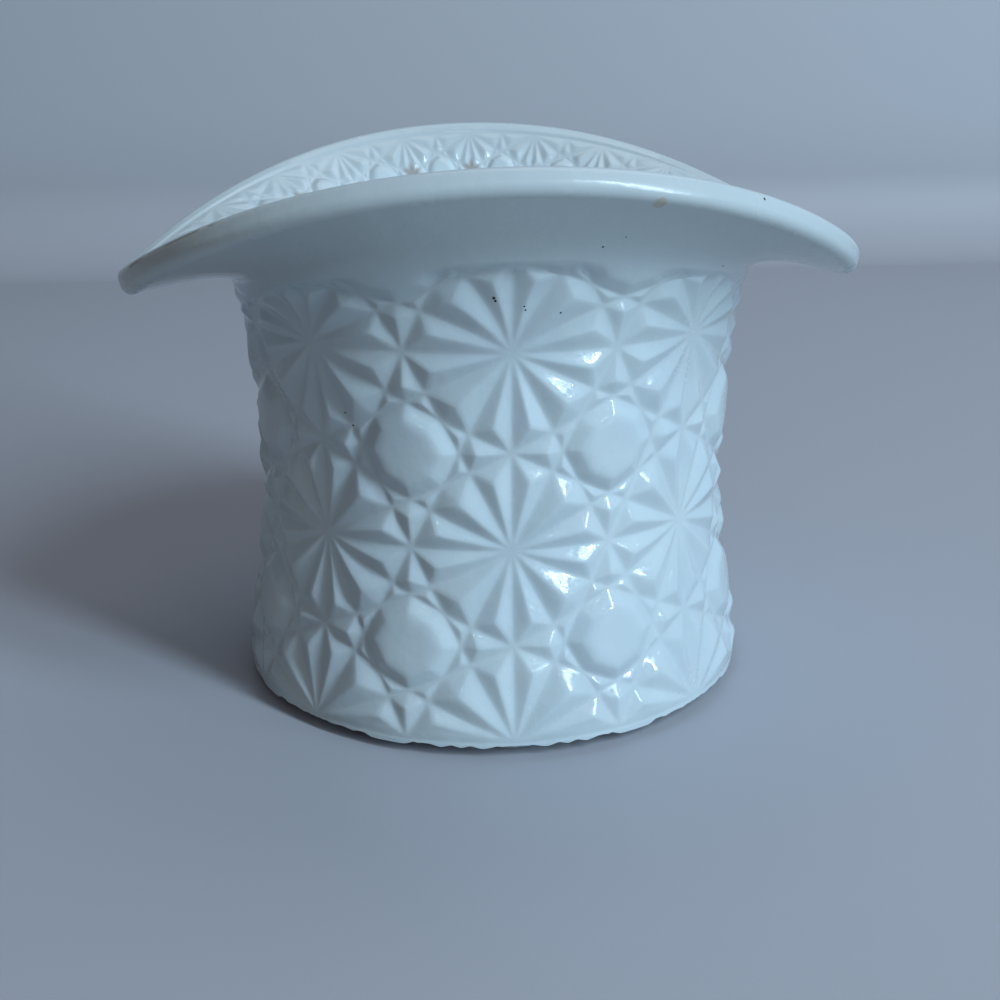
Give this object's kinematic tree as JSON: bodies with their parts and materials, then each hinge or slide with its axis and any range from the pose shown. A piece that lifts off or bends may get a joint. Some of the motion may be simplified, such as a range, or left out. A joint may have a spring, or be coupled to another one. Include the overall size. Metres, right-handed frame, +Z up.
{
  "type": "glass hat",
  "caption": "Small top hat of opaque white pressed glass that stands on its crown, saddle brim up, with a daisy and button pattern; holds matches, toothpicks or a posy.",
  "frame": {"origin": "middle of the underside, on the table", "axes": "+Z up along the axis of the cup, +X to the hat's right as seen from the front, -Y to the front"},
  "size_m": [0.0866, 0.079, 0.0642],
  "materials": {
    "milk_glass": "fire-polished gloss, opaque white"
  },
  "bodies": {
    "root": {"base_daisies": "milk_glass", "floor": "milk_glass", "wall": "milk_glass", "wall_daisies": "milk_glass", "neck": "milk_glass", "brim": "milk_glass", "brim_daisies": "milk_glass", "rim": "milk_glass"}
  },
  "joints": []
}
